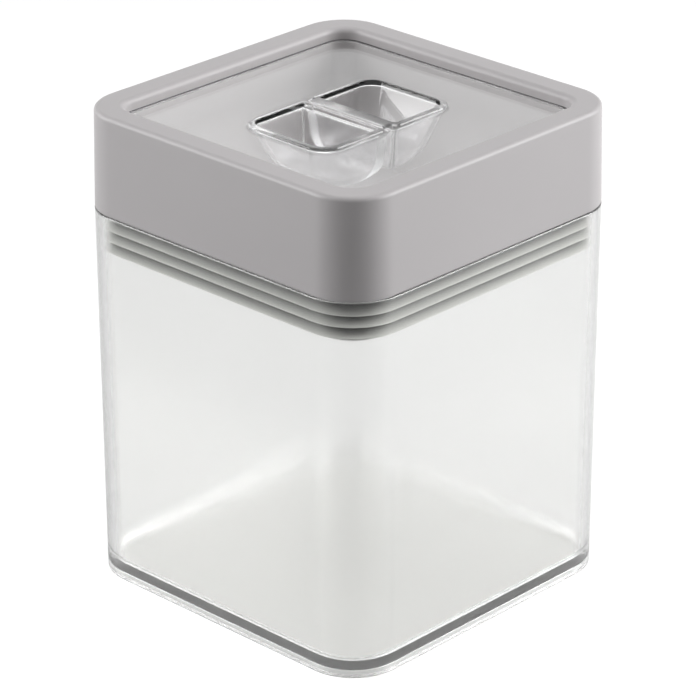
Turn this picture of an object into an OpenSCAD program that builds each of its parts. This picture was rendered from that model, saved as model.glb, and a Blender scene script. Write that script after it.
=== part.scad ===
// Square food storage container with a lift-off lid.
// The clear container is open at the top and stands on a low foot ring.
// The lid is a grey frame with a clear grip insert and a finned seal.
// Origin: centre of the foot ring, on the surface that it stands on. +Z is up.
// Each moulded piece is lofted from rounded squares, written as half width, corner radius and height.

/* [Container] */
// Width of the container across its mouth
body_w = 100.9; // [80:0.1:140]
// How much each side of the container leans in towards its foot
body_draft = 0.55; // [0:0.05:1.5]
// Height of the container without the lid
body_h = 103.8; // [60:0.1:220]
// Radius of the container's upright corners
body_corner_r = 15; // [10:0.1:20]
// Thickness of the container's side walls
wall_t = 2.6; // [1.5:0.1:4]
// Thickness of the container's floor
floor_t = 2.2; // [1.5:0.1:5]
// Radius where the floor meets the walls inside
floor_fillet_r = 1.4; // [0.5:0.1:5]
// Height of the foot ring under the floor
foot_h = 1.3; // [0.8:0.1:4]
// Width of the foot ring
foot_w = 2.8; // [2:0.1:6]
// Rounding of the container's lower outer edge
base_edge_r = 0.4; // [0.4:0.1:1.5]
// Rounding of the mouth's edges
mouth_edge_r = 0.4; // [0.2:0.1:0.7]
// How much the recess under the floor narrows upwards on each side
foot_draft = 0.3; // [0:0.1:0.8]

/* [Lid frame] */
// Height of the lid frame's skirt above the container
lid_h = 27; // [22:0.1:40]
// How far the skirt's lower edge stays inside the container's outer edge
skirt_inset = 0.45; // [0:0.05:0.8]
// How much each side of the skirt leans in towards its top
skirt_draft = 0.55; // [0:0.05:1.5]
// Radius of the skirt's upright corners
skirt_corner_r = 13.6; // [8:0.1:20]
// Thickness of the skirt
skirt_t = 2.2; // [1.2:0.1:3]
// Rounding of the rim's outer edge
rim_outer_r = 1.2; // [0.4:0.1:2]
// Rounding of the rim's inner edge
rim_inner_r = 2.4; // [0.5:0.1:2.6]
// Thickness of the rim between the skirt and the well
rim_t = 2.6; // [1.5:0.1:3]
// Thickness of the well's wall
well_wall_t = 2; // [1.2:0.1:2.5]
// Thickness of the well's floor, which closes the container
well_floor_t = 2; // [1.2:0.1:4]
// Depth of the lid's neck inside the container
neck_depth = 12.6; // [12.5:0.1:20]
// Height and width of the lip that holds the seal on the neck
neck_lip = 0.8; // [0.5:0.1:1.2]
// Height of the shoulder above the seal
shoulder_h = 2; // [1:0.1:4]
// Distance of the shoulder's underside below the container's mouth
shoulder_drop = 1.2; // [0:0.1:1.6]

/* [Grip insert] */
// Width of the rim between the lid's side and the clear plate
rim_w = 8.4; // [8:0.1:12]
// Radius of the plate's corners
plate_corner_r = 5.9; // [4:0.1:14]
// Thickness of the plate
plate_t = 1.4; // [1:0.1:3]
// Depth of the plate's top below the rim's top
plate_drop = 3.2; // [2.7:0.1:5]
// Gap around the plate
plate_gap = 0.3; // [0.1:0.05:0.5]
// Width of the ledge that carries the plate
ledge_w = 0.8; // [0.5:0.1:1.5]
// Length of each finger cup's opening along the bridge
cup_length = 26.8; // [20:0.1:34]
// Width of each finger cup's opening across the bridge
cup_width = 19.6; // [14:0.1:24]
// Depth of the finger cups below the plate's top
cup_depth = 14; // [10:0.1:16]
// Thickness of the finger cups' walls
cup_wall_t = 1.8; // [1.2:0.1:2.2]
// Radius of the cups' corners away from the bridge, at the opening
cup_corner_r = 4.4; // [3:0.1:6]
// Radius of the cups' corners beside the bridge
cup_bridge_corner_r = 0.8; // [0.4:0.1:2]
// Radius where the cups' walls turn into their bottoms
cup_bottom_r = 5; // [3:0.1:6]
// Lean of the cups' walls away from the bridge, in mm for each mm of depth
cup_end_lean = 0.45; // [0.2:0.05:0.5]
// Lean of the cups' other walls, in mm for each mm of depth
cup_side_lean = 0.12; // [0:0.02:0.2]
// Growth of the radius of the cups' far corners, in mm for each mm of depth
cup_corner_growth = 0.22; // [0:0.02:0.3]
// Width of the bridge between the two cups
bridge_w = 6; // [5.6:0.1:10]
// Width of the bead round the cups' openings
bead_w = 2; // [1.4:0.1:3]
// Height of the bead above the plate
bead_h = 0.5; // [0.3:0.1:1]

/* [Seal] */
// Number of fins on the seal
fin_count = 3; // [1:1:3]
// Height of the lowest fin's tip above the sleeve's lower end
fin_lift = 1.3; // [0.8:0.1:1.4]
// Distance from one fin to the next
fin_pitch = 3.05; // [2.9:0.05:3.15]
// Thickness of a fin's tip
fin_tip_t = 0.5; // [0.4:0.1:0.9]
// How far the lower edge of a fin's tip stays back from its upper edge
fin_tip_bevel = 0.2; // [0:0.1:0.4]
// Thickness of a fin at its root
fin_root_t = 1; // [0.8:0.1:1.4]
// Height over which a fin flares down from its root to its tip
fin_flare = 2.9; // [1.8:0.1:3]
// Thickness of the sleeve that carries the fins
sleeve_t = 1.4; // [1:0.1:2]
// Clearance of the sleeve on the neck
sleeve_fit = 0.05; // [0:0.05:0.2]
// Clearance between the fins' tips and the container's wall
fin_clearance = 0.3; // [0.2:0.05:0.6]

/* [Hidden] */

// Steps in each rounded corner and in each rounded edge
corner_steps = 12;
edge_steps = 5;
// Small overlap that makes cuts run clear of a surface
overrun = 1;

// Container
mouth_half = body_w / 2;
base_half = mouth_half - body_draft;
base_corner_r = body_corner_r - body_draft;
floor_z = foot_h + floor_t;
inner_mouth_half = mouth_half - wall_t;
inner_mouth_r = body_corner_r - wall_t;
inner_base_half = base_half - wall_t;
inner_base_r = base_corner_r - wall_t;

// Lid frame
skirt_half = mouth_half - skirt_inset;
rim_half = skirt_half - skirt_draft;
rim_corner_r = skirt_corner_r - skirt_draft;
top_z = body_h + lid_h;
plate_half = skirt_half - rim_w;
seat_half = plate_half + plate_gap;
seat_corner_r = plate_corner_r + plate_gap;
well_half = plate_half - ledge_w;
well_corner_r = plate_corner_r - ledge_w;
neck_half = well_half + well_wall_t;
neck_corner_r = well_corner_r + well_wall_t;
neck_z = body_h - neck_depth;
rim_flat_half = seat_half + rim_inner_r;
rim_flat_r = seat_corner_r + rim_inner_r;

// Grip insert
plate_top = top_z - plate_drop;
plate_z = plate_top - plate_t;
bead_top = plate_top + bead_h;
cup_far = bridge_w / 2 + cup_width;
slot_half = bridge_w / 2 - cup_wall_t;

// Seal
sleeve_z = neck_z + neck_lip;
sleeve_top = body_h - shoulder_drop;
sleeve_inner = neck_half + sleeve_fit;
sleeve_inner_r = neck_corner_r + sleeve_fit;

// Half width of the container's wall at height z, outside and inside
function outer_half(z) = base_half + body_draft * z / body_h;
function inner_half(z) = outer_half(z) - wall_t;

// One rounded rectangle: half width across x, its two y edges, a corner radius for each, and its height
function section(half, y_low, y_high, r_low, r_high, z) = [
    for (corner = [0:3])
        for (step = [0:corner_steps])
            let (a = 90 * corner + 90 * step / corner_steps)
            let (r = corner < 2 ? r_high : r_low)
            let (x = (corner == 0 || corner == 3) ? half - r : r - half)
            let (y = corner < 2 ? y_high - r : y_low + r)
            [x + r * cos(a), y + r * sin(a), z]
];

// One rounded square about the axis
function square_ring(half, r, z) = section(half, -half, half, r, r, z);

// Rings of a rounded edge: from angle a0 to a1 round a point that lies r_in inside the given half width
function edge_rings(half, r, z, edge_r, a0, a1) = [
    for (step = [0:edge_steps])
        let (a = a0 + (a1 - a0) * step / edge_steps)
        square_ring(half + edge_r * cos(a), r + edge_r * cos(a), z + edge_r * sin(a))
];

// Joins rings of equal length into one solid, with its two ends capped or joined into a loop
module loft(rings, loop = false) {
    count = len(rings[0]);
    rows = len(rings);
    points = [for (one = rings) each one];
    sides = [
        for (row = [0:rows - (loop ? 1 : 2)])
            for (i = [0:count - 1])
                let (j = (i + 1) % count)
                let (low = row * count)
                let (high = ((row + 1) % rows) * count)
                each [[low + i, high + j, low + j], [low + i, high + i, high + j]]
    ];
    caps = [
        [for (i = [0:count - 1]) i],
        [for (i = [count - 1:-1:0]) (rows - 1) * count + i]
    ];
    polyhedron(points = points, faces = loop ? sides : concat(sides, caps), convexity = 8);
}

// Clear moulded container with a recess under its floor
module container_body() {
    recess_half = base_half - foot_w;
    recess_r = base_corner_r - foot_w;
    fillet_half = inner_half(floor_z + floor_fillet_r) - floor_fillet_r;
    fillet_r = fillet_half - (inner_base_half - inner_base_r);
    rings = concat(
        [square_ring(recess_half - foot_draft, recess_r - foot_draft, foot_h)],
        [square_ring(recess_half, recess_r, 0)],
        edge_rings(base_half - base_edge_r, base_corner_r - base_edge_r, base_edge_r, base_edge_r, -90, 0),
        edge_rings(mouth_half - mouth_edge_r, body_corner_r - mouth_edge_r, body_h - mouth_edge_r,
            mouth_edge_r, 0, 90),
        edge_rings(inner_mouth_half + mouth_edge_r, inner_mouth_r + mouth_edge_r, body_h - mouth_edge_r,
            mouth_edge_r, 90, 180),
        [
            for (step = [0:edge_steps])
                let (a = 90 * step / edge_steps)
                square_ring(fillet_half + floor_fillet_r * cos(a), fillet_r + floor_fillet_r * cos(a),
                    floor_z + floor_fillet_r * (1 - sin(a)))
        ]
    );
    color([0.88, 0.92, 0.9, 0.45]) loft(rings);
}

// Grey frame: skirt, rim, ledge for the plate, closed well and neck in one moulding
module lid_frame() {
    under_rim_z = top_z - rim_t;
    skirt_in = skirt_half - skirt_t;
    skirt_in_r = skirt_corner_r - skirt_t;
    groove_half = neck_half + neck_lip;
    groove_r = neck_corner_r + neck_lip;
    shoulder_half = neck_half + sleeve_t;
    shoulder_r = neck_corner_r + sleeve_t;
    rings = concat(
        [
            square_ring(groove_half, groove_r, neck_z),
            square_ring(groove_half, groove_r, sleeve_z),
            square_ring(neck_half, neck_corner_r, sleeve_z),
            square_ring(neck_half, neck_corner_r, sleeve_top),
            square_ring(shoulder_half, shoulder_r, sleeve_top),
            square_ring(shoulder_half, shoulder_r, sleeve_top + shoulder_h),
            square_ring(neck_half, neck_corner_r, sleeve_top + shoulder_h),
            square_ring(neck_half, neck_corner_r, under_rim_z),
            square_ring(rim_half - skirt_t, rim_corner_r - skirt_t, under_rim_z),
            square_ring(skirt_in, skirt_in_r, body_h),
            square_ring(skirt_half, skirt_corner_r, body_h)
        ],
        edge_rings(rim_half - rim_outer_r, rim_corner_r - rim_outer_r, top_z - rim_outer_r, rim_outer_r, 0, 90),
        edge_rings(rim_flat_half, rim_flat_r, top_z - rim_inner_r, rim_inner_r, 90, 180),
        [
            square_ring(seat_half, seat_corner_r, plate_z),
            square_ring(well_half, well_corner_r, plate_z),
            square_ring(well_half, well_corner_r, neck_z + well_floor_t)
        ]
    );
    color("#b3adae") loft(rings);
}

// One finger cup as a closed loft, grown outwards by a margin: its bowl at 0 and its outer skin at the wall's thickness
module cup_form(margin, top) {
    bottom_r = cup_bottom_r + margin;
    turn_depth = cup_depth - cup_bottom_r;
    // Ring at depth d, pulled in by inset
    function cup_ring(d, inset, z) =
        let (near = bridge_w / 2 - margin + cup_side_lean * d / 2 + inset)
        let (far = cup_far + margin - cup_end_lean * d - inset)
        let (half = cup_length / 2 + margin - cup_side_lean * d - inset)
        let (r_near = cup_bridge_corner_r * (1 - inset / (2 * bottom_r)))
        let (r_full = cup_corner_r + margin + cup_corner_growth * d - inset / 2)
        let (r_far = max(0.3, min(r_full, far - near - r_near)))
        section(half, near, far, r_near, r_far, z);
    rings = concat(
        [
            for (step = [0:edge_steps])
                let (a = 90 - 90 * step / edge_steps)
                cup_ring(turn_depth + bottom_r * sin(a), bottom_r * (1 - cos(a)),
                    plate_top - turn_depth - bottom_r * sin(a))
        ],
        [cup_ring(0, 0, plate_top)],
        [cup_ring(0, 0, top)]
    );
    loft(rings);
}

// Clear insert: plate, beads, two finger cups and the bridge between them
module grip_insert() {
    color([0.85, 0.86, 0.87, 0.5]) difference() {
        union() {
            loft([
                square_ring(plate_half, plate_corner_r, plate_z),
                square_ring(plate_half, plate_corner_r, plate_top)
            ]);
            translate([-cup_length / 2, -bridge_w / 2, plate_z])
                cube([cup_length, bridge_w, plate_t + bead_h]);
            for (side = [0, 1]) mirror([0, side, 0]) {
                cup_form(cup_wall_t, plate_top);
                loft([
                    for (z = [plate_z, bead_top])
                        section(cup_length / 2 + bead_w, slot_half, cup_far + bead_w,
                            cup_bridge_corner_r, cup_corner_r + bead_w, z)
                ]);
            }
        }
        for (side = [0, 1]) mirror([0, side, 0]) cup_form(0, bead_top + overrun);
    }
}

// Soft seal: a sleeve on the neck with fins that flare down towards the container's wall
module lid_seal() {
    sleeve_half = neck_half + sleeve_t;
    sleeve_r = neck_corner_r + sleeve_t;
    // The four rings of the fin whose tip is lowest at height z
    function fin(z) =
        let (tip_half = inner_half(z) - fin_clearance)
        let (tip_r = tip_half - (inner_mouth_half - inner_mouth_r))
        [
            square_ring(sleeve_half, sleeve_r, z + fin_flare - fin_root_t),
            square_ring(tip_half - fin_tip_bevel, tip_r - fin_tip_bevel, z),
            square_ring(tip_half, tip_r, z + fin_tip_t),
            square_ring(sleeve_half, sleeve_r, z + fin_flare)
        ];
    rings = concat(
        [square_ring(sleeve_half, sleeve_r, sleeve_z)],
        [for (i = [0:fin_count - 1]) each fin(sleeve_z + fin_lift + i * fin_pitch)],
        [
            square_ring(sleeve_half, sleeve_r, sleeve_top),
            square_ring(sleeve_inner, sleeve_inner_r, sleeve_top),
            square_ring(sleeve_inner, sleeve_inner_r, sleeve_z)
        ]
    );
    color("#8e8f8c") loft(rings, loop = true);
}

container_body();
lid_frame();
grip_insert();
lid_seal();
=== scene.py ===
# %% [markdown]
# A square kitchen canister, dressed in Blender around a finished CAD frame. The frame holds the true
# sizes, and this lesson rebuilds each moulded piece as a smooth surface with its real finish: a clear
# container that is polished outside and frosted inside, a satin grey lid frame, a clear insert with
# two finger cups, and a soft seal with three fins.

import bmesh
import bpy
import numpy as np
from mathutils import Matrix, Vector


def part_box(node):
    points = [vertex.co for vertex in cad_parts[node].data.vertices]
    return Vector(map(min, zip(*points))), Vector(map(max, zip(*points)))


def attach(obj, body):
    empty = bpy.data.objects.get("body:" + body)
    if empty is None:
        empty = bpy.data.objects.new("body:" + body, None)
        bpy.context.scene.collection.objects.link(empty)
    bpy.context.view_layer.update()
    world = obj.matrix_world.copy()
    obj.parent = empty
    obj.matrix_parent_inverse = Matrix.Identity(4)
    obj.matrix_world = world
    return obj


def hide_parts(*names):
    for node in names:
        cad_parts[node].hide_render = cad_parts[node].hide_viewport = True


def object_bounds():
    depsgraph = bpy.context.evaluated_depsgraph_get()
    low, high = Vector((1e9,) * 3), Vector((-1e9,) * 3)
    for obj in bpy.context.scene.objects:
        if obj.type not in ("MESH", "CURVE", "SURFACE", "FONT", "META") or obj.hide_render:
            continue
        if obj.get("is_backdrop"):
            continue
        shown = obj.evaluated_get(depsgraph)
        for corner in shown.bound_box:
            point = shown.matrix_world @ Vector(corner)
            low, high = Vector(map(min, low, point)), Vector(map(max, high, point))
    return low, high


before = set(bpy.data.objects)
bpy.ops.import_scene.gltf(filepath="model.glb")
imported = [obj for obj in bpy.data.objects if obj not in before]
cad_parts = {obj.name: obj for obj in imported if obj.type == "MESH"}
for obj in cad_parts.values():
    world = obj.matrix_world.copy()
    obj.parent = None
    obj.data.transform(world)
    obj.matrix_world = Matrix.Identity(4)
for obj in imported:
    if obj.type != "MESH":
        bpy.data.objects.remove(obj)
cad_low, cad_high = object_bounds()
MM = 0.001
print("CAD box in mm:", [round(x / MM, 1) for x in cad_high - cad_low])

# %% [markdown]
# The main sizes are read from the frame, so each surface lands exactly where the solid is. Only what
# the boxes can't tell, such as a wall or a corner radius, is written here again in millimetres. A
# "half" is a distance from the middle of the square to a flat side.

# %% Sizes from the frame, in millimetres
_, body_high = (np.array(corner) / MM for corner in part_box("container_body"))
lid_low, lid_high = (np.array(corner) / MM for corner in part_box("lid_frame"))
_, grip_high = (np.array(corner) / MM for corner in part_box("grip_insert"))

MOUTH_HALF = body_high[0]
BODY_H = body_high[2]
SKIRT_HALF = lid_high[0]
LID_TOP = lid_high[2]
NECK_Z = lid_low[2]
PLATE_HALF = grip_high[0]

# The container: its corner radius seen from above, how far each side leans in from mouth to base, its
# wall, the recess under the floor (depth, and width of the ring round it) and the floor's height.
BODY_CORNER_R = 15.0
BODY_DRAFT = 0.55
WALL = 2.6
FOOT_H = 1.3
FOOT_W = 2.8
FLOOR_Z = 3.5

# The lid's skirt: how far it leans in from its lower edge to the rim, its corner radius and its wall.
SKIRT_DRAFT = 0.55
SKIRT_CORNER_R = 13.6
SKIRT_T = 2.2

# The insert's plate: its corner radius, the gap round it, its thickness, how far it is sunk below the
# rim, and the width of the ledge that carries it.
PLATE_CORNER_R = 5.9
PLATE_GAP = 0.3
PLATE_T = 1.4
PLATE_SINK = 3.2
LEDGE = 0.8
PLATE_TOP = LID_TOP - PLATE_SINK
PLATE_Z = PLATE_TOP - PLATE_T
print("mouth", MOUTH_HALF * 2, "height", LID_TOP, "plate", PLATE_HALF * 2)

# %% [markdown]
# Every piece is a rounded square carried along a profile. A cube with a Bevel modifier would be
# quicker, but it can't hold a different corner radius at each height. So one turn of the path is
# stored as four numbers for each point: which corner centre it belongs to, and the direction in which
# the corner radius pushes it. Extra points close to the ends of each straight side keep the flat
# sides flat when the shading is smooth.

# %% The path round a rounded square
CORNER_STEPS = 24
SIDE_POINTS = np.array([0.01, 0.03, 0.5, 0.97, 0.99])


def turn_path():
    """Rows of (kx, ky, cos a, sin a): a corner keeps its centre while a sweeps 90 degrees, and a side
    keeps its angle while the centre slides from one corner to the next."""
    signs = np.array([[1, 1], [-1, 1], [-1, -1], [1, -1]], float)
    rows = []
    for corner in range(4):
        a = np.pi / 2 * (corner + np.linspace(0, 1, CORNER_STEPS + 1))
        centre = np.tile(signs[corner], (len(a), 1))
        rows.append(np.column_stack([centre, np.cos(a), np.sin(a)]))
        slide = signs[corner] + np.outer(SIDE_POINTS, signs[(corner + 1) % 4] - signs[corner])
        last = np.tile([np.cos(a[-1]), np.sin(a[-1])], (len(SIDE_POINTS), 1))
        rows.append(np.column_stack([slide, last]))
    return np.vstack(rows)


PATH = turn_path()


def square_rings(profile):
    """Profile rows are (half width, height, corner centre). The corner radius is half width minus
    corner centre, so x = kx * centre + radius * cos a, y = ky * centre + radius * sin a, z = height."""
    half, z, centre = (profile[:, i, None] for i in range(3))
    radius = half - centre
    x = PATH[:, 0] * centre + radius * PATH[:, 2]
    y = PATH[:, 1] * centre + radius * PATH[:, 3]
    return np.stack([x, y, np.broadcast_to(z, x.shape)], axis=-1)


print("points in one turn:", len(PATH))

# %% [markdown]
# A moulded part has no sharp edges, so a profile is written as its few corner points with a radius
# for each, and one function turns every corner into an arc. A support point on each side of an arc
# keeps the flat stretches flat. An arc and its support points take less than half of the shorter
# stretch beside it, so that two neighbours never meet.

# %% Profiles with rounded corners
ARC_STEPS = 7
SUPPORT = 0.5
ARC_SHARE = 0.48
SUPPORT_SHARE = 0.49
STRAIGHT = 0.01


def rounded_profile(corners, closed):
    """Corner rows are (half width, height, radius, corner centre). Each arc touches both of its
    straight neighbours: its ends lie radius / tan(half the angle) from the corner."""
    points = np.asarray(corners, float)
    count = len(points)
    out = []
    for i in range(count):
        here, before, after = points[i], points[i - 1], points[(i + 1) % count]
        if not closed and i in (0, count - 1):
            out.append([here[[0, 1, 3]]])
            continue
        to_before = before[:2] - here[:2]
        to_after = after[:2] - here[:2]
        room = min(np.hypot(*to_before), np.hypot(*to_after))
        back = to_before / np.hypot(*to_before)
        ahead = to_after / np.hypot(*to_after)
        angle = np.arccos(np.clip(back @ ahead, -1, 1))
        if np.pi - angle < STRAIGHT or here[2] == 0:
            out.append([here[[0, 1, 3]]])
            continue
        tangent = min(here[2] / np.tan(angle / 2), room * ARC_SHARE)
        radius = tangent * np.tan(angle / 2)
        middle = here[:2] + (back + ahead) / np.hypot(*(back + ahead)) * radius / np.sin(angle / 2)
        start = here[:2] + back * tangent - middle
        end = here[:2] + ahead * tangent - middle
        turn = np.arctan2(start[0] * end[1] - start[1] * end[0], start @ end)
        t = np.linspace(0, turn, ARC_STEPS + 1)[:, None]
        arc = middle + np.hstack([start[0] * np.cos(t) - start[1] * np.sin(t),
                                  start[0] * np.sin(t) + start[1] * np.cos(t)])
        lead = here[:2] + back * min(tangent + SUPPORT, room * SUPPORT_SHARE)
        tail = here[:2] + ahead * min(tangent + SUPPORT, room * SUPPORT_SHARE)
        stretch = np.vstack([lead, arc, tail])
        out.append(np.column_stack([stretch, np.full(len(stretch), here[3])]))
    return np.vstack(out)


sample = rounded_profile([(0, 0, 1, 0), (10, 0, 1, 0), (10, 10, 1, 0), (0, 10, 1, 0)], closed=True)
print("a square with four rounded corners has", len(sample), "profile points")

# %% [markdown]
# A grid of points becomes a mesh in one go. Rows follow the profile and columns follow the path, so
# the faces are plain index arithmetic, and each row of faces can have its own material slot. A piece
# that doesn't close on itself gets one flat face at each end. Where rows are picked by a height or a
# place, HAIR is the small step in millimetres that keeps rounding errors out of the choice.

# %% Grid to mesh
MERGE_MM = 0.0005
SLIVER_M = 1e-8
HAIR = 0.01


def grid_faces(rows, count, wrap_rows):
    """Quads between row i and row i + 1, wrapped round the path, and round the rows if asked."""
    i = np.arange(rows if wrap_rows else rows - 1)[:, None]
    j = np.arange(count)[None, :]
    a, b = i * count + j, i * count + (j + 1) % count
    up = (i + 1) % rows
    c, d = up * count + (j + 1) % count, up * count + j
    return np.stack([a, b, c, d], axis=-1).reshape(-1, 4)


def end_caps(rows, count):
    """Two faces, one over the whole first row and one over the whole last row, facing apart."""
    first = list(range(count))[::-1]
    last = list(range((rows - 1) * count, rows * count))
    return [first, last]


def make_piece(name, points, faces, body, node, materials, face_slots=None):
    """One smooth object at the origin from points in millimetres, with points that are closer than
    MERGE_MM made one. It rides on its body in place of its CAD node."""
    mesh = bpy.data.meshes.new(name)
    mesh.from_pydata((points * MM).tolist(), [], [list(face) for face in faces])
    for material in materials:
        mesh.materials.append(material)
    if face_slots is not None:
        mesh.polygons.foreach_set("material_index", np.asarray(face_slots, np.int32))
    mesh.update()
    piece = bpy.data.objects.new(name, mesh)
    bpy.context.scene.collection.objects.link(piece)
    work = bmesh.new()
    work.from_mesh(mesh)
    bmesh.ops.remove_doubles(work, verts=work.verts, dist=MERGE_MM * MM)
    bmesh.ops.dissolve_degenerate(work, edges=work.edges, dist=SLIVER_M)
    open_edges = sum(1 for edge in work.edges if len(edge.link_faces) != 2)
    volume = work.calc_volume(signed=True)
    work.to_mesh(mesh)
    work.free()
    mesh.polygons.foreach_set("use_smooth", np.ones(len(mesh.polygons), bool))
    mesh.update()
    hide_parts(node)
    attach(piece, body)
    print(name, len(mesh.polygons), "faces,", open_edges, "open edges,", round(volume * 1e6, 2), "cm3")
    return piece


print("a grid of 3 rows and 4 columns has", len(grid_faces(3, 4, False)), "faces")

# %% [markdown]
# Colours are given as sRGB hex values and turned to linear once, because Blender's sockets
# hold linear light. One helper adds a node with its settings, values and links, which keeps each
# material short enough to read. A real mould leaves a texture on every face, so one more helper lays
# a fine noise over a surface as a bump.

# %% Colour, nodes and grain
def linear(code):
    """sRGB to linear light: divide by 12.92 up to 0.04045, and above that raise (c + 0.055) / 1.055
    to the power 2.4."""
    c = np.array([int(code[i:i + 2], 16) for i in (1, 3, 5)]) / 255
    return (*np.where(c <= 0.04045, c / 12.92, ((c + 0.055) / 1.055) ** 2.4).tolist(), 1.0)


def add_node(tree, kind, settings=None, values=None, links=None):
    """Adds one node. Settings are its properties, values are constants for its input sockets, and
    links give the output socket that feeds each named input."""
    node = tree.nodes.new(kind)
    for key, value in (settings or {}).items():
        setattr(node, key, value)
    for key, value in (values or {}).items():
        node.inputs[key].default_value = value
    for key, socket in (links or {}).items():
        tree.links.new(socket, node.inputs[key])
    return node


def new_material(name, values):
    """A material with one Principled surface and its constants. Returns the material, its node tree
    and the surface node."""
    material = bpy.data.materials.new(name)
    material.use_nodes = True
    tree = material.node_tree
    tree.nodes.clear()
    surface = add_node(tree, "ShaderNodeBsdfPrincipled", values=values)
    add_node(tree, "ShaderNodeOutputMaterial", links={"Surface": surface.outputs[0]})
    return material, tree, surface


def grain(tree, surface, size_mm, depth_mm, strength):
    """A moulding texture: noise whose cells are size_mm wide, standing depth_mm high, as a bump."""
    place = add_node(tree, "ShaderNodeTexCoord")
    noise = add_node(tree, "ShaderNodeTexNoise", values={"Scale": 1 / (size_mm * MM), "Detail": 2.0},
                     links={"Vector": place.outputs["Object"]})
    bump = add_node(tree, "ShaderNodeBump", values={"Strength": strength, "Distance": depth_mm * MM},
                    links={"Height": noise.outputs["Fac"]})
    tree.links.new(bump.outputs[0], surface.inputs["Normal"])
    return place, noise


print("sRGB #808080 is", round(linear("#808080")[0], 3), "in linear light")

# %% [markdown]
# The lid frame is moulded polypropylene from a satin tool: a warm light grey with a fine even grain
# that spreads every highlight. The grain is about 0.1 mm on the real part; it is drawn at 0.4 mm so
# that it shows at all. Two close tones drift over 40 mm, as they do in any moulding.
#
# The well is seen through the clear plate. The real plate and cups scatter light down into it, which
# makes it an even pale grey, so its walls carry painted light: they are coloured lighter than the
# skirt, and lighter still with depth. The top of its seat, beside the plate, is painted nearly black:
# that is painted shade for the narrow gap round the plate. The plate casts no shadow here, as the grip
# cell explains, so the gap's shade is painted on as a finish of its own.

# %% Satin grey polypropylene
WELL_FADE_TOP = PLATE_TOP - 9.6
WELL_FADE_END = NECK_Z + 2.8
DRIFT_MM = 40


def satin_polypropylene(name, low, high, painted_light=None):
    """Warm light grey with a slow drift between two close tones and a fine bump. A third tone, if
    given, is painted light that takes over between WELL_FADE_TOP and WELL_FADE_END."""
    material, tree, surface = new_material(name, {"Roughness": 0.45, "IOR": 1.49})
    place, _ = grain(tree, surface, size_mm=0.4, depth_mm=0.02, strength=0.25)
    drift = add_node(tree, "ShaderNodeTexNoise", values={"Scale": 1 / (DRIFT_MM * MM), "Detail": 1.0},
                     links={"Vector": place.outputs["Object"]})
    tone = add_node(tree, "ShaderNodeMix", {"data_type": "RGBA"}, {"A": linear(low), "B": linear(high)},
                    {"Factor": drift.outputs["Fac"]})
    if painted_light:
        height = add_node(tree, "ShaderNodeSeparateXYZ", links={0: place.outputs["Object"]})
        depth = add_node(tree, "ShaderNodeMapRange",
                         values={"From Min": WELL_FADE_TOP * MM, "From Max": WELL_FADE_END * MM},
                         links={"Value": height.outputs["Z"]})
        tone = add_node(tree, "ShaderNodeMix", {"data_type": "RGBA"}, {"B": linear(painted_light)},
                        {"Factor": depth.outputs[0], "A": tone.outputs["Result"]})
    tree.links.new(tone.outputs["Result"], surface.inputs["Base Color"])
    return material


LID_PLASTIC = satin_polypropylene("satin_moulded_polypropylene", "#A8A5A6", "#ADAAAB")
# The well's tones are painted light: paler than the skirt's, and paler still with depth.
WELL_PLASTIC_PAINTED_LIGHT = satin_polypropylene("satin_well_painted_light", "#B3B1B1", "#B8B6B6", "#EAE8E8")
# The gap's near-black tone is painted shade.
GAP_PAINTED_SHADE = satin_polypropylene("shaded_gap_wall", "#3A3939", "#403F3F")
print("satin greys:", LID_PLASTIC.name, WELL_PLASTIC_PAINTED_LIGHT.name, GAP_PAINTED_SHADE.name)

# %% [markdown]
# The container and the grip are injection-moulded clear plastic. Polished steel gives the outside its
# glass-like face, with only a faint ripple 12 mm wide. Inside the container the tool is blasted, so
# the inner face is frosted: it scatters what passes and hides what is stored. The real frosting is
# too fine to show, so it is drawn 0.5 mm wide.
#
# All of it is one kind of plastic with a different roughness. The floor and the foot ring carry
# painted shade, since the container casts no shadow: the floor is tinted a little darker, for the
# shade under the container, and the foot a lot darker, as the dark line round the base of a clear
# box. The cups' outer skin is satin, so that the cups read as soft light shapes under a clear plate.

# %% Clear plastic, polished, satin and frosted
POLISHED_RIPPLE = {"size_mm": 12.0, "depth_mm": 0.02, "strength": 0.04}
FROSTING = {"size_mm": 0.5, "depth_mm": 0.03, "strength": 0.3}
CONTAINER_IOR = 1.5
GRIP_IOR = 1.49


def clear_plastic(name, tints, roughness, index, texture):
    """Full transmission with the plastic's refractive index. The finish is its roughness and texture,
    and the same noise drifts the colour between two close tints."""
    material, tree, surface = new_material(name, {"Transmission Weight": 1.0, "IOR": index,
                                                  "Roughness": roughness})
    _, noise = grain(tree, surface, **texture)
    tone = add_node(tree, "ShaderNodeMix", {"data_type": "RGBA"},
                    {"A": linear(tints[0]), "B": linear(tints[1])}, {"Factor": noise.outputs["Fac"]})
    tree.links.new(tone.outputs["Result"], surface.inputs["Base Color"])
    return material


POLISHED = clear_plastic("polished_clear_plastic", ("#FCFDFC", "#FEFEFE"), 0.0, CONTAINER_IOR,
                         POLISHED_RIPPLE)
FROSTED = clear_plastic("frosted_clear_plastic", ("#FDFDFC", "#FEFEFD"), 0.25, CONTAINER_IOR, FROSTING)
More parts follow.
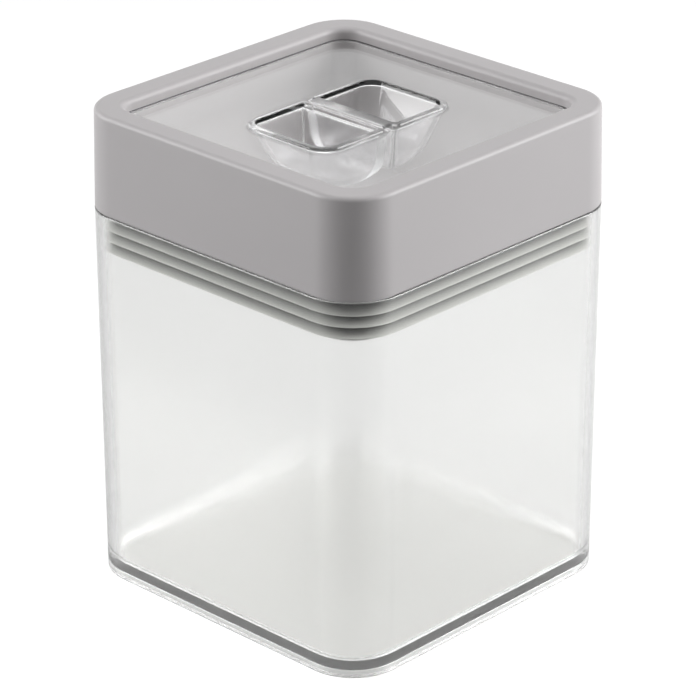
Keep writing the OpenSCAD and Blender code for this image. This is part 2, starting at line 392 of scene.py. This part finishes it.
# The floor and foot tints are painted shade under the container and along its base.
FROSTED_FLOOR_PAINTED_SHADE = clear_plastic("frosted_floor_painted_shade", ("#E4E4DF", "#E7E7E2"), 0.3, CONTAINER_IOR, FROSTING)
FOOT_PAINTED_SHADE = clear_plastic("clear_foot_painted_shade", ("#A2A3A0", "#A7A8A5"), 0.35, CONTAINER_IOR, FROSTING)
GRIP_CLEAR = clear_plastic("polished_clear_grip", ("#FBFBFC", "#FDFDFD"), 0.0, GRIP_IOR, POLISHED_RIPPLE)
GRIP_SATIN = clear_plastic("satin_clear_grip", ("#EEEEEF", "#F1F1F2"), 0.26, GRIP_IOR, POLISHED_RIPPLE)
print("clear finishes:", [m.name for m in (POLISHED, FROSTED, FROSTED_FLOOR_PAINTED_SHADE, FOOT_PAINTED_SHADE)])
print("grip finishes:", GRIP_CLEAR.name, GRIP_SATIN.name)

# %% [markdown]
# The seal is soft moulded silicone, a neutral grey with a dull sheen. Its colour carries painted
# light and shade: pale at the thin fin tips, where light comes through, and nearly black at the roots
# between the fins, where shade falls, which gives the sharp stripes under the lid. Real scattering
# inside such thin fins would be slow to render, so the seal stores how far out each point lies as an
# attribute, "reach", and the painted shade follows it.

# %% Silicone
def silicone_painted_light_and_shade():
    """Matte silicone with a weak sheen and a fine skin. Its colour is painted shade, dark at the fin
    roots, and painted light, pale at the tips.
    """
    material, tree, surface = new_material("silicone_painted_light_and_shade", {"Roughness": 0.5, "IOR": 1.41,
                                                                "Specular IOR Level": 0.25})
    grain(tree, surface, size_mm=0.5, depth_mm=0.02, strength=0.2)
    reach = add_node(tree, "ShaderNodeAttribute", {"attribute_name": "reach"})
    # Reach picks between painted shade at the fin roots and painted light at the tips.
    tone = add_node(tree, "ShaderNodeMix", {"data_type": "RGBA"},
                    {"A": linear("#181917"), "B": linear("#D0D1CC")}, {"Factor": reach.outputs["Fac"]})
    tree.links.new(tone.outputs["Result"], surface.inputs["Base Color"])
    return material


SILICONE_PAINTED_LIGHT_AND_SHADE = silicone_painted_light_and_shade()
print("seal finish:", SILICONE_PAINTED_LIGHT_AND_SHADE.name)

# %% [markdown]
# The container is one profile: from the recess under the floor, round the foot ring, up the outside,
# over the mouth and down the inside to the floor. The two ends are flat caps. All its corners turn
# about the same centres, so the wall has the same thickness everywhere, as a moulding needs. The
# inner rows get the frosted finish, the innermost floor rows the frosted floor with its painted shade,
# and the foot ring's inner wall and lowest rows the foot's darker painted shade.
#
# Clear plastic passes nearly all the light that meets it, but to a shadow ray it is a solid wall. So
# the container is left out of shadows and of diffuse light, which is closer to the real thing than a
# black shadow inside it, and much less noisy.

# %% Container
BODY_CENTRE = MOUTH_HALF - BODY_CORNER_R
BASE_HALF = MOUTH_HALF - BODY_DRAFT
INNER_MOUTH = MOUTH_HALF - WALL
INNER_BASE = BASE_HALF - WALL

# Edge radii of the foot ring, the mouth and the inner floor, and how far in the flat caps start.
RECESS_LEAN = 0.3
RECESS_R = 0.5
FOOT_INNER_R = 0.3
BASE_EDGE_R = 0.35
MOUTH_EDGE_R = 0.4
INNER_BASE_R = 2.4
CAP_INSET = 6.0

# Where the frosting ends under the mouth's edge, and where the foot's painted shade ends.
FROST_TOP = BODY_H - 0.6
FOOT_SHADE_TOP = 0.45
CAP_CLEAR = 0.1


def container():
    """Rounded squares about one set of corner centres, carried along the profile of the wall."""
    recess = BASE_HALF - FOOT_W
    frost_share = (FROST_TOP - FLOOR_Z) / (BODY_H - FLOOR_Z)
    frost_half = INNER_BASE + (INNER_MOUTH - INNER_BASE) * frost_share
    corners = [
        (recess - CAP_INSET, FOOT_H, 0), (recess - RECESS_LEAN, FOOT_H, RECESS_R),
        (recess, 0, FOOT_INNER_R), (BASE_HALF, 0, BASE_EDGE_R),
        (MOUTH_HALF, BODY_H, MOUTH_EDGE_R), (INNER_MOUTH, BODY_H, MOUTH_EDGE_R),
        (frost_half, FROST_TOP, 0), (INNER_BASE, FLOOR_Z, INNER_BASE_R),
        (INNER_BASE - CAP_INSET, FLOOR_Z, 0),
    ]
    profile = rounded_profile([(*corner, BODY_CENTRE) for corner in corners], closed=False)
    rings = square_rings(profile)
    rows, count = rings.shape[:2]
    faces = grid_faces(rows, count, False).tolist() + end_caps(rows, count)
    row = np.arange(rows - 1)
    row_z = (profile[1:, 1] + profile[:-1, 1]) / 2
    inside = row > np.argmax(profile[:, 1])
    ring_wall = (row < np.argmin(profile[:, 1])) & (row_z < FOOT_H - CAP_CLEAR)
    finishes = [POLISHED, FROSTED, FROSTED_FLOOR_PAINTED_SHADE, FOOT_PAINTED_SHADE]
    finish = np.full(rows - 1, finishes.index(POLISHED))
    finish[~inside & (ring_wall | (row_z < FOOT_SHADE_TOP))] = finishes.index(FOOT_PAINTED_SHADE)
    finish[inside & (row_z < FROST_TOP)] = finishes.index(FROSTED)
    finish[inside & (row_z < FLOOR_Z + HAIR)] = finishes.index(FROSTED_FLOOR_PAINTED_SHADE)
    slots = np.repeat(finish, count).tolist()
    slots += [finishes.index(POLISHED), finishes.index(FROSTED_FLOOR_PAINTED_SHADE)]
    return make_piece("clear_container", rings.reshape(-1, 3), faces, "container", "container_body",
                      finishes, slots)


container_piece = container()
container_piece.visible_shadow = False
container_piece.visible_diffuse = False

# %% [markdown]
# The lid frame is one moulding: a skirt, a rim, a seat for the plate, a deep well with a closed floor,
# and a neck that goes into the container's mouth, with a lip and a shoulder that trap the seal. It
# could be cut from a block with booleans, but one profile between two flat caps keeps every edge
# rounded. The skirt's corners turn about other centres than the well's, so each profile corner
# carries its own corner centre.

# %% Lid frame
SKIRT_CENTRE = SKIRT_HALF - SKIRT_CORNER_R
WELL_CENTRE = PLATE_HALF - PLATE_CORNER_R

# The rim, and the strip of the seat wall that shows as the shaded gap.
RIM_HALF = SKIRT_HALF - SKIRT_DRAFT
RIM_UNDER = LID_TOP - 2.6
RIM_OUTER_R = 1.2
# The rim, and the strip of the seat wall that is painted dark as the shaded gap.
RIM_INNER_R = 2.4
SEAT_HALF = PLATE_HALF + PLATE_GAP
GAP_SHADE = 0.35

# The well and its floor, 2 mm thick like the neck's wall.
WELL_HALF = PLATE_HALF - LEDGE
WELL_FLOOR_Z = NECK_Z + 2.0
WELL_FLOOR_R = 1.0
WELL_CAP_INSET = 3.0

# The neck, the lip under the seal's sleeve, and the shoulder over it.
NECK_HALF = WELL_HALF + 2.0
LIP_HALF = NECK_HALF + 0.8
SLEEVE_Z = NECK_Z + 0.8
SLEEVE_TOP = BODY_H - 1.2
SLEEVE_HALF = NECK_HALF + 1.4
SHOULDER_TOP = SLEEVE_TOP + 2.0


def lid_frame():
    """One profile between two flat caps: from under the well's floor up the neck, under the rim, down
    inside the skirt, up its outside, over the rim and down into the well."""
    neck = [
        (NECK_HALF - CAP_INSET, NECK_Z, 0), (LIP_HALF, NECK_Z, 0.3), (LIP_HALF, SLEEVE_Z, 0.1),
        (NECK_HALF, SLEEVE_Z, 0.1), (NECK_HALF, SLEEVE_TOP, 0.1), (SLEEVE_HALF, SLEEVE_TOP, 0.1),
        (SLEEVE_HALF, SHOULDER_TOP, 0.2), (NECK_HALF, SHOULDER_TOP, 0.2), (NECK_HALF, RIM_UNDER, 0.5),
    ]
    skirt = [
        (RIM_HALF - SKIRT_T, RIM_UNDER, 0.5), (SKIRT_HALF - SKIRT_T, BODY_H, 0.3),
        (SKIRT_HALF, BODY_H, 0.3), (RIM_HALF, LID_TOP, RIM_OUTER_R),
    ]
    well = [
        (SEAT_HALF, LID_TOP, RIM_INNER_R), (SEAT_HALF, PLATE_TOP, 0), (SEAT_HALF, PLATE_TOP - GAP_SHADE, 0),
        (SEAT_HALF, PLATE_Z, 0.1), (WELL_HALF, PLATE_Z, 0.2), (WELL_HALF, WELL_FLOOR_Z, WELL_FLOOR_R),
        (WELL_HALF - WELL_CAP_INSET, WELL_FLOOR_Z, 0),
    ]
    corners = [(*corner, WELL_CENTRE) for corner in neck]
    corners += [(*corner, SKIRT_CENTRE) for corner in skirt]
    corners += [(*corner, WELL_CENTRE) for corner in well]
    profile = rounded_profile(corners, closed=False)
    rings = square_rings(profile)
    rows, count = rings.shape[:2]
    faces = grid_faces(rows, count, False).tolist() + end_caps(rows, count)
    row_z = (profile[1:, 1] + profile[:-1, 1]) / 2
    in_well = (np.arange(rows - 1) > np.argmax(profile[:, 1])) & (row_z < PLATE_TOP)
    finishes = [LID_PLASTIC, WELL_PLASTIC_PAINTED_LIGHT, GAP_PAINTED_SHADE]
    finish = np.full(rows - 1, finishes.index(LID_PLASTIC))
    # The well's rows get the painted light, and the seat's strip beside the plate the painted shade.
    finish[in_well] = finishes.index(WELL_PLASTIC_PAINTED_LIGHT)
    finish[in_well & (row_z > PLATE_TOP - GAP_SHADE)] = finishes.index(GAP_PAINTED_SHADE)
    slots = np.repeat(finish, count).tolist()
    slots += [finishes.index(LID_PLASTIC), finishes.index(WELL_PLASTIC_PAINTED_LIGHT)]
    return make_piece("grey_lid_frame", rings.reshape(-1, 3), faces, "lid", "lid_frame",
                      finishes, slots)


lid_piece = lid_frame()

# %% [markdown]
# The seal is one moulding too: a sleeve with three soft fins that flare down to the container's wall.
# Each fin tapers to a rounded tip. The tips turn about the container's corner centres and the sleeve
# about the neck's, so the fins follow the wall all the way round. After the mesh is made, each point
# gets its reach: 0 on the sleeve and 1 at the container's wall, raised to a power that keeps most of
# the fin in painted shade and only its tip in painted light.

# %% Seal
FIN_COUNT = 3
FIN_CLEAR = 0.05
FIN_LIFT = 1.3
FIN_PITCH = 3.05
FIN_ROOT_LOW = 1.6
FIN_ROOT_HIGH = 2.3
FIN_TIP_T = 0.25
SLEEVE_FIT = 0.05
REACH_POWER = 1.6


def store_reach(piece):
    """Half is the rounded square that a point lies on: the corner centre plus the length from it of
    what is left of |x| and |y|. Reach is its share of the way from the sleeve to the wall."""
    places = np.zeros(len(piece.data.vertices) * 3)
    piece.data.vertices.foreach_get("co", places)
    across = np.maximum(np.abs(places.reshape(-1, 3)[:, :2]) / MM - WELL_CENTRE, 0)
    half = WELL_CENTRE + np.hypot(across[:, 0], across[:, 1])
    reach = np.clip((half - SLEEVE_HALF) / (INNER_MOUTH - SLEEVE_HALF), 0, 1) ** REACH_POWER
    piece.data.attributes.new("reach", "FLOAT", "POINT").data.foreach_set("value", reach)
    return reach


def seal():
    """A closed profile: up the sleeve past each fin's underside, tip and top, then down the inside."""
    corners = [(SLEEVE_HALF, SLEEVE_Z, 0.1, WELL_CENTRE)]
    for i in range(FIN_COUNT):
        z = SLEEVE_Z + FIN_LIFT + FIN_PITCH * i
        tip = MOUTH_HALF - BODY_DRAFT * (1 - z / BODY_H) - WALL - FIN_CLEAR
        corners += [
            (SLEEVE_HALF, z + FIN_ROOT_LOW, 0.2, WELL_CENTRE), (tip - 0.1, z, 0.1, BODY_CENTRE),
            (tip, z + FIN_TIP_T, 0.1, BODY_CENTRE), (SLEEVE_HALF, z + FIN_ROOT_HIGH, 0.2, WELL_CENTRE),
        ]
    inner = NECK_HALF + SLEEVE_FIT
    corners += [(SLEEVE_HALF, SLEEVE_TOP, 0.1, WELL_CENTRE), (inner, SLEEVE_TOP, 0.1, WELL_CENTRE),
                (inner, SLEEVE_Z, 0.1, WELL_CENTRE)]
    rings = square_rings(rounded_profile(corners, closed=True))
    faces = grid_faces(*rings.shape[:2], True)
    return make_piece("finned_seal", rings.reshape(-1, 3), faces, "lid", "lid_seal",
                      [SILICONE_PAINTED_LIGHT_AND_SHADE])


seal_piece = seal()
print("largest reach:", round(float(store_reach(seal_piece).max()), 2))

# %% [markdown]
# The grip insert is one clear moulding: a plate with two finger cups, a bead round each cup, and a
# bridge between them. Half of it is a single grid of points: each row is a rounded rectangle, and the
# rows run from the cup's bottom up its inside, over the bead, out across the plate, round the plate's
# edge, back under it and down the cup's outer skin. Where the rows pass the middle of the part they
# stay on the mirror plane, and the other half is the mirror image.
#
# A row has six numbers: its half length along the bridge, its near and far edge measured across the
# bridge, the radii of its near and far corners, and its height.

# %% Sizes of the grip insert, in millimetres
# The cup's opening, its depth, and the wall round it, which is thicker beside the bridge.
CUP_HALF = 13.4
CUP_NEAR = 3.0
CUP_FAR = 22.6
CUP_DEPTH = 14.0
CUP_WALL = 1.8
BRIDGE_WALL = 2.1

# The corner radii of the opening, the near one of the outer skin, and what the far one gains with
# each millimetre of depth.
NEAR_R = 0.8
FAR_R = 4.4
SKIN_NEAR_R = 0.4
FAR_R_GROWTH = 0.22

# The round bottom, the small step in to its flat cap, and how far each side leans in for each
# millimetre of depth.
CUP_BOTTOM_R = 5.0
BOTTOM_STEPS = 15
BOTTOM_INSET = 0.3
END_LEAN = 0.12
NEAR_LEAN = 0.06
FAR_LEAN = 0.45

# The bead round the opening, the fillet under the plate, and the plate's own edge. SEAM_OUT is how
# far outside the opening the rows meet the mirror plane.
BEAD_H = 0.5
BEAD_TOP_W = 1.5
BEAD_W = 2.0
OPENING_R = 0.25
UNDER_FILLET = 0.7
EDGE_R = 0.3
SEAM_OUT = 3.0
print("cup opening in mm:", 2 * CUP_HALF, "by", round(CUP_FAR - CUP_NEAR, 1))

# %% [markdown]
# Three kinds of row are enough. The cup's wall narrows with depth, so that the moulding comes off its
# core. The bead is the opening grown outwards by a few steps. The plate's rows are half of its rounded
# square, cut on the mirror plane.

# %% Rows of the cup, the bead and the plate
def cup_rows(margin, depths):
    """The cup's wall at each depth d: the ends lean in by END_LEAN d, the near side by NEAR_LEAN d and
    the far side by FAR_LEAN d, and the last stretch turns in on a quarter circle of radius
    CUP_BOTTOM_R + margin. The margin is 0 inside the cup and CUP_WALL on its outer skin."""
    bottom_r = CUP_BOTTOM_R + margin
    a = np.radians(np.append(np.linspace(0, 90, BOTTOM_STEPS), 90))
    d = np.concatenate([depths, CUP_DEPTH - CUP_BOTTOM_R + bottom_r * np.sin(a)])
    inset = np.concatenate([np.zeros(len(depths)), bottom_r * (1 - np.cos(a))])
    inset[-1] += BOTTOM_INSET
    half = CUP_HALF + margin - END_LEAN * d - inset
    near = CUP_NEAR - (BRIDGE_WALL if margin else 0) + NEAR_LEAN * d + inset
    far = CUP_FAR + margin - FAR_LEAN * d - inset
    near_r = (SKIN_NEAR_R if margin else NEAR_R) * (1 - inset / (2 * bottom_r))
    far_r = np.minimum(FAR_R + margin + FAR_R_GROWTH * d - inset / 2, far - near - near_r)
    return np.column_stack([half, near, far, near_r, far_r, PLATE_TOP - d])


def offset_rows(out_by, height):
    """Rings that lie out_by outside the cup's opening, at a height above the plate."""
    return np.column_stack([CUP_HALF + out_by, CUP_NEAR - out_by, CUP_FAR + out_by,
                            NEAR_R + out_by, FAR_R + out_by, PLATE_TOP + height])


def plate_rows(half, z):
    """Rings of the half plate: a near side on the mirror plane, and the far corners' own radius."""
    return np.column_stack([half, 0 * half, half, 0 * half, half - WELL_CENTRE, z])


def arc(start, stop, steps=6):
    """Cosine and sine at even steps between two angles in degrees."""
    a = np.radians(np.linspace(start, stop, steps + 1))
    return np.cos(a), np.sin(a)


print("rows in one cup wall:", len(cup_rows(0, np.zeros(0))))

# %% [markdown]
# The rows are now put in order, from the cup's bottom up and out and back again. Their places in that
# order are kept, because the bridge's lift starts at the bead, and the faces between the two seams
# have no near side.

# %% All rows in order
INSIDE_DEPTHS = np.array([0.6, 3.0, 6.0])
SKIN_DEPTHS = np.array([PLATE_T + UNDER_FILLET, 5.0])
FLAT_BEAD = np.array([0.5, 1.2])
BEAD_STEPS = 9


def grip_rows():
    """All rows of the half insert in order, then the number of the bead's first row and of the two
    rows that lie on the mirror plane."""
    inside = cup_rows(0, INSIDE_DEPTHS)[::-1]
    cosine, sine = arc(180, 90)
    opening = offset_rows(OPENING_R * (1 + cosine), BEAD_H - OPENING_R * (1 - sine))
    out_by = np.linspace(BEAD_TOP_W, BEAD_W, BEAD_STEPS)
    fall = 0.5 + 0.5 * np.cos(np.pi * (out_by - BEAD_TOP_W) / (BEAD_W - BEAD_TOP_W))
    flat = offset_rows(FLAT_BEAD, np.full(len(FLAT_BEAD), BEAD_H))
    bead = np.vstack([flat, offset_rows(out_by, BEAD_H * fall)])
    seam = np.array([CUP_HALF + SEAM_OUT, 0, CUP_FAR + SEAM_OUT, 0, FAR_R + SEAM_OUT, PLATE_TOP])
    cosine, sine = arc(90, 0, 4)
    upper_edge = plate_rows(PLATE_HALF - EDGE_R * (1 - cosine), PLATE_TOP - EDGE_R * (1 - sine))
    support = plate_rows(np.array([PLATE_HALF - EDGE_R - 0.3]), np.array([PLATE_TOP]))
    upper_edge = np.vstack([support, upper_edge])
    lower_edge = upper_edge[::-1].copy()
    lower_edge[:, 5] = PLATE_TOP + PLATE_Z - lower_edge[:, 5]
    under_seam = seam.copy()
    under_seam[5] = PLATE_Z
    skin = cup_rows(CUP_WALL, SKIN_DEPTHS)
    cosine, sine = arc(90, 180)
    grow = UNDER_FILLET * (1 + cosine)
    fillet = skin[0] + np.column_stack([grow, -grow, grow, grow, grow, UNDER_FILLET * sine])
    groups = [inside, opening, bead, [seam], upper_edge, lower_edge, [under_seam], fillet, skin[1:]]
    first_bead = len(inside) + len(opening) - 1
    first_seam = len(inside) + len(opening) + len(bead)
    last_seam = first_seam + len(upper_edge) + len(lower_edge) + 1
    return np.vstack(groups), first_bead, first_seam, last_seam


print("rows of the half insert:", len(grip_rows()[0]))

# %% [markdown]
# Each row becomes a ring of points. A near corner and a far corner have different radii, so the radius
# slides from one to the other along the two ends. The bridge's top is lifted to the beads' height, and
# that lift fades out just past the cups' ends, which leaves the small notches between the beads.
#
# The rows past the second seam, which are the cups' outer skin, get the satin finish. Like the
# container, the insert is left out of shadows and of diffuse light, so the well under it is lit as if
# through clear plastic.

# %% Grip insert
LIFT_FULL = 13.0
LIFT_END = 13.6


def cup_rings(rows):
    """With t = 0 on the near side and 1 on the far side, the radius is r = near_r + t (far_r - near_r),
    x = kx (half - r) + r cos a, and y = (1 - t)(near + near_r) + t (far - far_r) + r sin a."""
    half, near, far, near_r, far_r, z = (rows[:, i, None] for i in range(6))
    t = (1 + PATH[:, 1]) / 2
    r = near_r + t * (far_r - near_r)
    x = PATH[:, 0] * (half - r) + r * PATH[:, 2]
    y = (1 - t) * (near + near_r) + t * (far - far_r) + r * PATH[:, 3]
    return np.stack([x, y, np.broadcast_to(z, x.shape)], axis=-1)


def smooth_step(edge0, edge1, x):
    """3 u^2 - 2 u^3 with u running from 0 at edge0 to 1 at edge1."""
    u = np.clip((x - edge0) / (edge1 - edge0), 0, 1)
    return u * u * (3 - 2 * u)


def grip_insert():
    """One half as a grid with capped cup bottoms, its mirror image, and the two joined on the plane
    y = 0."""
    rows, first_bead, first_seam, last_seam = grip_rows()
    rings = cup_rings(rows)
    count = len(PATH)
    quarter = count // 4
    near_zone = np.arange(2 * quarter, 3 * quarter + CORNER_STEPS)
    on_plane = PATH[near_zone]
    for seam in (first_seam, last_seam):
        rings[seam, near_zone, 0] = (on_plane[:, 0] * (CUP_HALF - NEAR_R)
                                     + (NEAR_R + SEAM_OUT) * on_plane[:, 2])
    fade = 1 - smooth_step(LIFT_FULL, LIFT_END, np.abs(rings[..., 0]))
    lift = BEAD_H * fade * (rings[..., 1] < CUP_NEAR + HAIR)
    zone = slice(first_bead, first_seam + 1)
    rings[zone, :, 2] = np.maximum(rings[zone, :, 2], PLATE_TOP + lift[zone])
    faces = grid_faces(len(rows), count, False).reshape(len(rows) - 1, count, 4)
    keep = np.ones(faces.shape[:2], bool)
    keep[first_seam:last_seam, near_zone] = False
    finishes = [GRIP_CLEAR, GRIP_SATIN]
    finish = np.where(np.arange(len(rows) - 1) > last_seam, finishes.index(GRIP_SATIN),
                      finishes.index(GRIP_CLEAR))
    slots = np.repeat(finish[:, None], count, axis=1)[keep].tolist()
    slots += [finishes.index(GRIP_CLEAR), finishes.index(GRIP_SATIN)]
    faces = faces[keep][:, ::-1].tolist() + [cap[::-1] for cap in end_caps(len(rows), count)]
    points = rings.reshape(-1, 3)
    mirrored = [[corner + len(points) for corner in face[::-1]] for face in faces]
    points = np.vstack([points, points * [1, -1, 1]])
    return make_piece("clear_grip_insert", points, faces + mirrored, "lid", "grip_insert",
                      finishes, slots + slots)


grip_piece = grip_insert()
grip_piece.visible_shadow = False
grip_piece.visible_diffuse = False

# %% [markdown]
# The floor is a plain pale sheet, a hair below the foot ring. Seen by the camera, or mirrored and
# bent by the clear pieces, it mixes with a plain white glow, so it reads as a white sweep that still
# keeps a soft shadow. A ray that has already met a matte surface doesn't see the glow, so the floor
# adds no light of its own to the object.
#
# The part of the sheet that the clear walls mirror is brighter towards +Y, on the viewer's right, and
# has no glow towards -Y, which leaves the seal's grooves dark at the front corner and on the left.

# %% Floor
FLOOR_HALF_M = 1.5
FLOOR_DROP = 0.05
SEEN_GLOW = 0.65
BENT_GLOW = 0.4
MIRROR_GLOW = 0.8
MIRROR_FADE_M = 0.15


def before_matte(tree, path, value):
    """Multiplies a value by 1 while the ray's diffuse depth is 0, and by 0 after that."""
    first = add_node(tree, "ShaderNodeMath", {"operation": "LESS_THAN"}, {1: 0.5},
                     {0: path.outputs["Diffuse Depth"]})
    return add_node(tree, "ShaderNodeMath", {"operation": "MULTIPLY"},
                    links={0: value.outputs[0], 1: first.outputs[0]})


def white_paper_sweep():
    """Matte white plus emission. Its strength is SEEN_GLOW for camera rays, BENT_GLOW for rays that
    were bent, and for rays that were only mirrored a smooth ramp along y up to MIRROR_GLOW."""
    material = bpy.data.materials.new("white_paper_sweep")
    material.use_nodes = True
    tree = material.node_tree
    tree.nodes.clear()
    matte = add_node(tree, "ShaderNodeBsdfDiffuse", values={"Color": linear("#A8A8A8")})
    path = add_node(tree, "ShaderNodeLightPath")
    place = add_node(tree, "ShaderNodeTexCoord")
    axes = add_node(tree, "ShaderNodeSeparateXYZ", links={0: place.outputs["Object"]})
    side = add_node(tree, "ShaderNodeMapRange", {"interpolation_type": "SMOOTHSTEP"},
                    {"From Min": -MIRROR_FADE_M, "From Max": MIRROR_FADE_M, "To Max": MIRROR_GLOW},
                    {"Value": axes.outputs["Y"]})
    only_mirrored = add_node(tree, "ShaderNodeMath", {"operation": "GREATER_THAN"},
                             links={0: path.outputs["Is Glossy Ray"],
                                    1: path.outputs["Is Transmission Ray"]})
    mirrored = add_node(tree, "ShaderNodeMath", {"operation": "MULTIPLY"},
                        links={0: only_mirrored.outputs[0], 1: side.outputs[0]})
    bent = add_node(tree, "ShaderNodeMath", {"operation": "MULTIPLY_ADD"}, {1: BENT_GLOW},
                    {0: path.outputs["Is Transmission Ray"], 2: mirrored.outputs[0]})
    strength = add_node(tree, "ShaderNodeMath", {"operation": "MULTIPLY_ADD"}, {1: SEEN_GLOW},
                        {0: path.outputs["Is Camera Ray"],
                         2: before_matte(tree, path, bent).outputs[0]})
    glow = add_node(tree, "ShaderNodeEmission", values={"Color": (1, 1, 1, 1)},
                    links={"Strength": strength.outputs[0]})
    both = add_node(tree, "ShaderNodeAddShader", links={0: matte.outputs[0], 1: glow.outputs[0]})
    add_node(tree, "ShaderNodeOutputMaterial", links={"Surface": both.outputs[0]})
    return material


def pale_floor():
    """A square that reaches FLOOR_HALF_M to each side, FLOOR_DROP millimetres below height 0."""
    across = FLOOR_HALF_M
    z = -FLOOR_DROP * MM
    corners = [(-across, -across, z), (across, -across, z), (across, across, z), (-across, across, z)]
    mesh = bpy.data.meshes.new("floor")
    mesh.from_pydata(corners, [], [(0, 1, 2, 3)])
    mesh.materials.append(white_paper_sweep())
    floor = bpy.data.objects.new("floor", mesh)
    bpy.context.scene.collection.objects.link(floor)
    floor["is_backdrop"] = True
    return floor


floor_piece = pale_floor()
print("floor size in m:", [round(x, 2) for x in floor_piece.dimensions])

# %% [markdown]
# The world is a white studio for the camera and for rays that the clear pieces mirror and bend, since
# clear plastic is drawn by what is behind and around it. For light that falls on matte surfaces the
# world is only a weak even fill, so the soft boxes shape the object.
#
# The white for mirrored and bent rays passes through a range that reads the direction and gives the
# same white all round. It isn't dead: without it the clear body comes out 1 to 2 levels of 255
# brighter, most likely because Cycles samples a world as a light only if it varies by direction.

# %% World
WORLD_FILL = 0.1
STUDIO_WHITE = 1.0


def studio_world():
    """Strength STUDIO_WHITE for camera rays and for mirrored or bent rays before any matte surface,
    and WORLD_FILL for all others."""
    world = bpy.data.worlds.new("studio")
    bpy.context.scene.world = world
    world.use_nodes = True
    tree = world.node_tree
    tree.nodes.clear()
    path = add_node(tree, "ShaderNodeLightPath")
    shown = add_node(tree, "ShaderNodeMath", {"operation": "MAXIMUM"},
                     links={0: path.outputs["Is Glossy Ray"], 1: path.outputs["Is Transmission Ray"]})
    direction = add_node(tree, "ShaderNodeTexCoord")
    white = add_node(tree, "ShaderNodeMapRange", {"interpolation_type": "SMOOTHSTEP"},
                     {"To Min": STUDIO_WHITE, "To Max": STUDIO_WHITE},
                     {"Value": direction.outputs["Generated"]})
    ray = add_node(tree, "ShaderNodeMix", {"data_type": "FLOAT"}, {"A": WORLD_FILL},
                   {"Factor": before_matte(tree, path, shown).outputs[0], "B": white.outputs[0]})
    view = add_node(tree, "ShaderNodeMix", {"data_type": "FLOAT"}, {"B": STUDIO_WHITE},
                    {"Factor": path.outputs["Is Camera Ray"], "A": ray.outputs[0]})
    back = add_node(tree, "ShaderNodeBackground", values={"Color": (1, 1, 1, 1)},
                    links={"Strength": view.outputs[0]})
    add_node(tree, "ShaderNodeOutputWorld", links={"Surface": back.outputs[0]})
    return world


print("world:", studio_world().name)

# %% [markdown]
# The camera is a long lens fitted to the object's corner lines, which gives the photograph's angle: a
# corner towards the viewer, from about 24.5 degrees above. A long lens from further away keeps the
# upright edges nearly parallel, as a product photograph does.

# %% Camera
AZIMUTH = np.radians(43.773)
ELEVATION = np.radians(24.506)
ROLL = np.radians(-0.102)
BACK = np.array([np.sin(AZIMUTH) * np.cos(ELEVATION), -np.cos(AZIMUTH) * np.cos(ELEVATION),
                 np.sin(ELEVATION)])
RIGHT = np.array([np.cos(AZIMUTH), np.sin(AZIMUTH), 0])
UP = np.cross(BACK, RIGHT)
AIM = np.array([0, -0.24, 62.4])
DISTANCE = 937.4
LENS = 185.3
SENSOR = 36.0


def fitted_camera():
    """Stands at aim + distance * back. Its axes are right, up and back, turned by the roll."""
    data = bpy.data.cameras.new("camera")
    data.sensor_width = SENSOR
    data.lens = LENS
    data.clip_end = 20.0
    camera = bpy.data.objects.new("camera", data)
    bpy.context.scene.collection.objects.link(camera)
    right = np.cos(ROLL) * RIGHT + np.sin(ROLL) * UP
    up = np.cos(ROLL) * UP - np.sin(ROLL) * RIGHT
    place = Vector((AIM + DISTANCE * BACK) * MM)
    turned = Matrix(np.column_stack([right, up, BACK]).tolist()).to_4x4()
    camera.matrix_world = Matrix.Translation(place) @ turned
    bpy.context.scene.camera = camera
    return camera


camera = fitted_camera()
print("camera lens in mm:", round(camera.data.lens, 1))

# %% [markdown]
# Two large soft boxes stand to the left and right of the camera and a third hangs above. The right
# one is the stronger, so the right face is a little lighter than the left, and the corner between
# them falls into a soft shade.

# %% Soft boxes
SIDE_REACH = 1.05
OBJECT_MIDDLE = Vector((0, 0, 0.065))


def soft_box(name, place, size, power):
    """A square area lamp at a place in metres that faces the middle of the object."""
    data = bpy.data.lights.new(name, "AREA")
    data.shape = "SQUARE"
    data.size = size
    data.energy = power
    lamp = bpy.data.objects.new(name, data)
    bpy.context.scene.collection.objects.link(lamp)
    lamp.location = Vector(place)
    to_middle = OBJECT_MIDDLE - lamp.location
    lamp.rotation_euler = to_middle.to_track_quat("-Z", "Y").to_euler()
    return lamp


lamps = [
    soft_box("left_box", -RIGHT * SIDE_REACH + [0, 0, 0.44], size=0.8, power=12.3),
    soft_box("right_box", RIGHT * SIDE_REACH + [0, 0, 0.5], size=0.8, power=16.2),
    soft_box("top_box", np.array([0, 0, 1.2]), size=1.2, power=5),
]
bpy.context.scene.view_settings.view_transform = "Standard"
print("lamps:", [round(lamp.data.energy, 1) for lamp in lamps])

# %% [markdown]
# The last cell prints how much the dressed object's box differs from the CAD box.

# %% Size difference
new_low, new_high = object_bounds()
growth = (new_high - new_low) - (cad_high - cad_low)
print("size difference in mm:", [round(float(x) / MM, 3) for x in growth])
